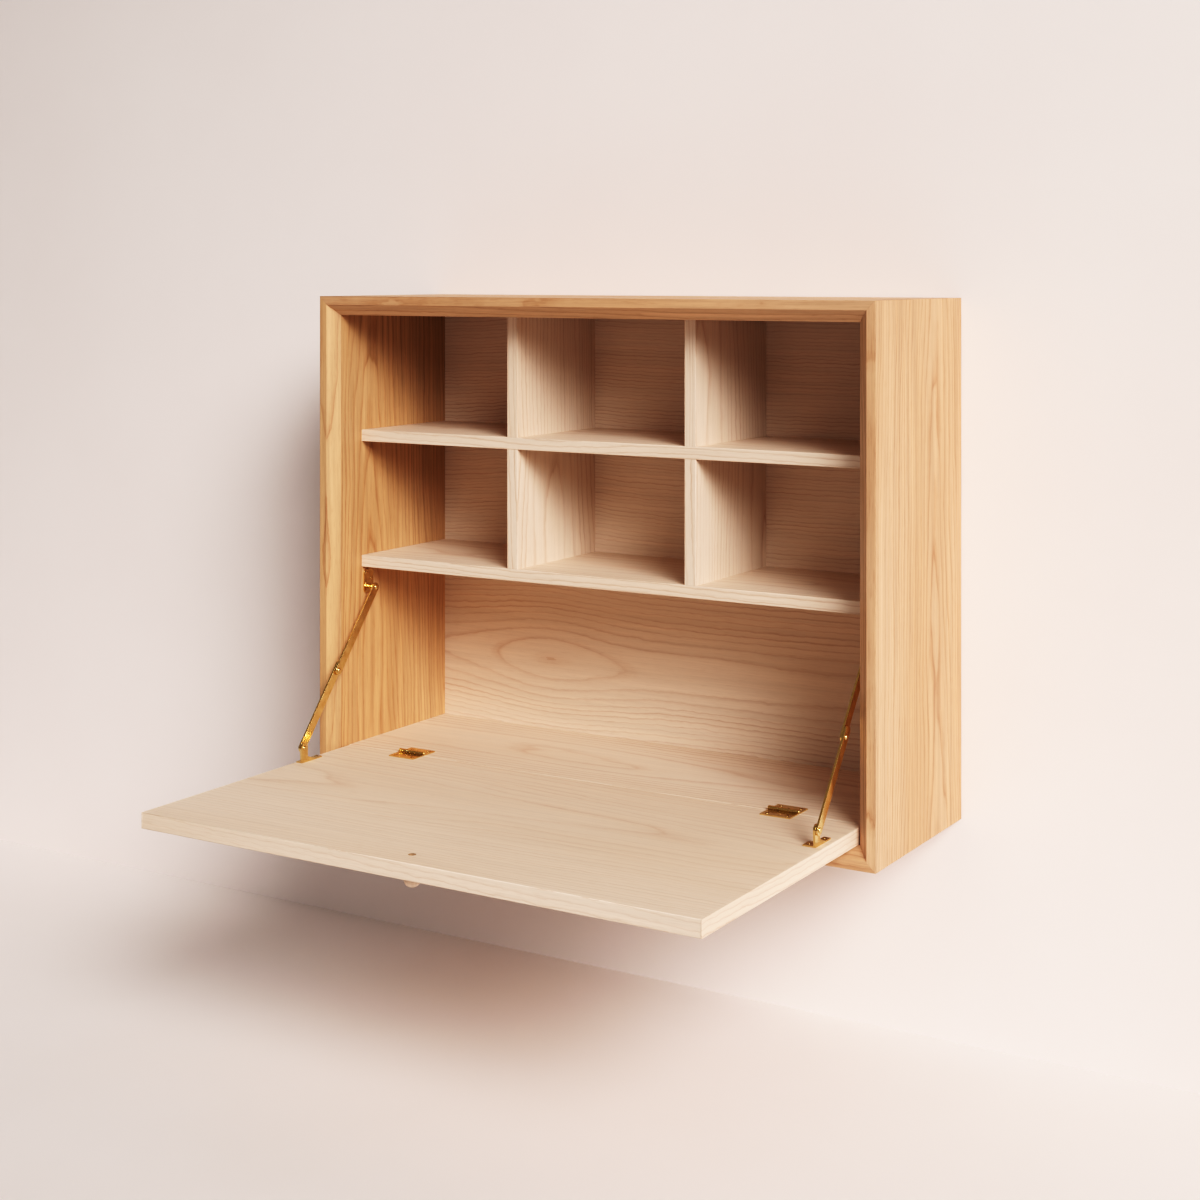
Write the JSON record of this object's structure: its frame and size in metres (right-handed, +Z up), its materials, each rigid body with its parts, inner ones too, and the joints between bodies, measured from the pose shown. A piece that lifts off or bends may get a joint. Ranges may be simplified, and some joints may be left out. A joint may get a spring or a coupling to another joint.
{
  "type": "fold-down wall desk",
  "caption": "Wall-hung cabinet of open cubbies over a desk leaf that folds down on brass surface hinges and is held level by folding brass stays.",
  "frame": {"origin": "on the wall, in the middle of the four wall screw holes, level with the cabinet's centre", "axes": "+X to the viewer's right along the wall, +Y into the wall, +Z up"},
  "size_m": [0.92, 0.719, 0.742],
  "materials": {
    "case_wood": "satin lacquer, honey colour",
    "inner_wood": "matt, pale",
    "hidden_wood": "unfinished",
    "brass": "polished",
    "steel": "zinc plated"
  },
  "bodies": {
    "carcase": {"left_side_panel": "case_wood", "right_side_panel": "case_wood", "top_panel": "case_wood", "bottom_panel": "case_wood", "back_panel": "inner_wood", "floor_board": "inner_wood", "middle_shelf": "inner_wood", "lower_shelf": "inner_wood", "upper_left_divider": "inner_wood", "upper_right_divider": "inner_wood", "lower_left_divider": "inner_wood", "lower_right_divider": "inner_wood", "hanging_cleat": "hidden_wood", "wall_cleat": "hidden_wood", "wall_batten": "hidden_wood", "corner_splines": "hidden_wood", "cleat_dowels": "hidden_wood", "hinge_floor_screws": "brass", "stay_wall_screws": "brass", "left_hinge_floor_plate": "brass", "left_hinge_pin": "brass", "left_stay_upper_rivet": "brass", "left_stay_wall_bracket": "brass", "right_hinge_floor_plate": "brass", "right_hinge_pin": "brass", "right_stay_upper_rivet": "brass", "right_stay_wall_bracket": "brass", "lock_screws": "steel"},
    "leaf": {"desk_leaf": "inner_wood", "left_edge_band": "inner_wood", "right_edge_band": "inner_wood", "knob": "inner_wood", "knob_screw": "brass", "hinge_leaf_screws": "brass", "stay_leaf_screws": "brass", "left_hinge_leaf_plate": "brass", "left_stay_leaf_bracket": "brass", "left_stay_lower_rivet": "brass", "right_hinge_leaf_plate": "brass", "right_stay_leaf_bracket": "brass", "right_stay_lower_rivet": "brass"},
    "left_upper_arm": {"left_stay_upper_arm": "brass", "left_stay_middle_rivet_inner": "brass"},
    "left_lower_arm": {"left_stay_lower_arm": "brass", "left_stay_middle_rivet_outer": "brass"},
    "right_upper_arm": {"right_stay_upper_arm": "brass", "right_stay_middle_rivet_inner": "brass"},
    "right_lower_arm": {"right_stay_lower_arm": "brass", "right_stay_middle_rivet_outer": "brass"}
  },
  "joints": [
    {"name": "leaf_fold", "type": "hinge", "parent": "carcase", "child": "leaf", "pos_m": [0, -0.269, -0.3167], "axis": [-1, 0, 0], "range_deg": [0, 90]},
    {"name": "left_upper_arm_fold", "type": "hinge", "parent": "carcase", "child": "left_upper_arm", "pos_m": [-0.4191, -0.221, -0.083], "axis": [1, 0, 0], "range_deg": [0, 82.1]},
    {"name": "left_lower_arm_fold", "type": "hinge", "parent": "leaf", "child": "left_lower_arm", "pos_m": [-0.4191, -0.3935, -0.2985], "axis": [1, 0, 0], "range_deg": [0, 40.1]},
    {"name": "right_upper_arm_fold", "type": "hinge", "parent": "carcase", "child": "right_upper_arm", "pos_m": [0.4191, -0.221, -0.083], "axis": [1, 0, 0], "range_deg": [0, 82.1]},
    {"name": "right_lower_arm_fold", "type": "hinge", "parent": "leaf", "child": "right_lower_arm", "pos_m": [0.4191, -0.3935, -0.2985], "axis": [1, 0, 0], "range_deg": [0, 40.1]}
  ],
  "couplings": [
    {"joint": "left_upper_arm_fold", "follows": "leaf_fold", "ratio": 0.91128},
    {"joint": "left_lower_arm_fold", "follows": "leaf_fold", "ratio": 0.44449},
    {"joint": "right_upper_arm_fold", "follows": "leaf_fold", "ratio": 0.91128},
    {"joint": "right_lower_arm_fold", "follows": "leaf_fold", "ratio": 0.44449}
  ]
}
